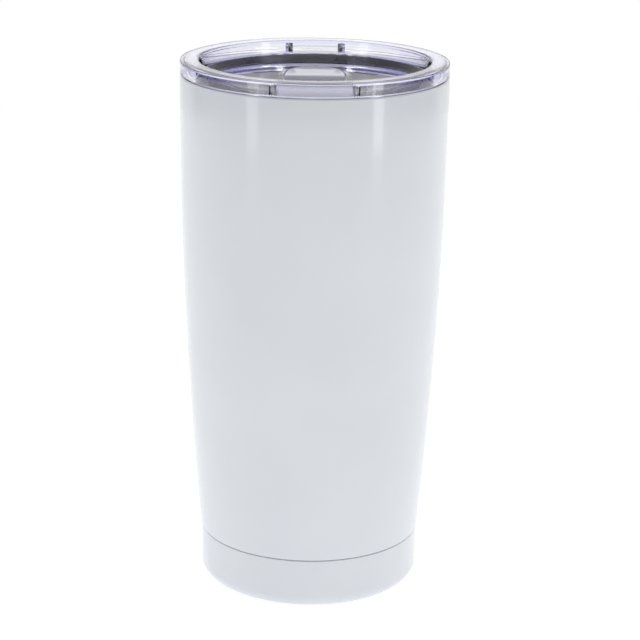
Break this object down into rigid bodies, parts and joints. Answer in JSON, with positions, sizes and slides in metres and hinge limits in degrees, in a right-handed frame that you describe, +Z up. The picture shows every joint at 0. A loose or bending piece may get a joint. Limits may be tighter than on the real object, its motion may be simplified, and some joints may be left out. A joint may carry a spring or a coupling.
{
  "type": "insulated tumbler with lid",
  "caption": "Tall tapered double-walled drinking tumbler with a clear press-in lid, a lift tab and a sliding closure over the sip hole.",
  "frame": {"origin": "centre of the foot, on the table", "axes": "+Z up along the tumbler's axis, -Y towards the lid's lift tab, +Y towards the drinking side"},
  "size_m": [0.0872, 0.0872, 0.1761],
  "materials": {
    "white_coat": "gloss",
    "bare_steel": "polished",
    "foil_metal": "satin",
    "solder_glass": "gloss",
    "getter_grey": "matte",
    "silicone": "satin",
    "clear_plastic": "clear gloss"
  },
  "bodies": {
    "tumbler": {"outer_shell": "white_coat", "inner_liner": "bare_steel", "foil_shield": "foil_metal", "base_cup": "white_coat", "base_cover": "bare_steel", "vacuum_plug": "solder_glass", "getter_pellet": "getter_grey", "getter_clip": "bare_steel"},
    "seal_ring": {"lid_gasket": "silicone"},
    "lid": {"lid_body": "clear_plastic"},
    "closure": {"slider": "clear_plastic"}
  },
  "joints": [
    {"name": "lid_lift", "type": "slide", "parent": "tumbler", "child": "seal_ring", "axis": [0, 0, 1], "range_m": [0, 0.06]},
    {"name": "lid_turn", "type": "hinge", "parent": "seal_ring", "child": "lid", "pos_m": [0, 0, 0.162], "axis": [0, 0, 1], "continuous": true},
    {"name": "closure_slide", "type": "slide", "parent": "lid", "child": "closure", "axis": [0, -1, 0], "range_m": [0, 0.0137]}
  ]
}
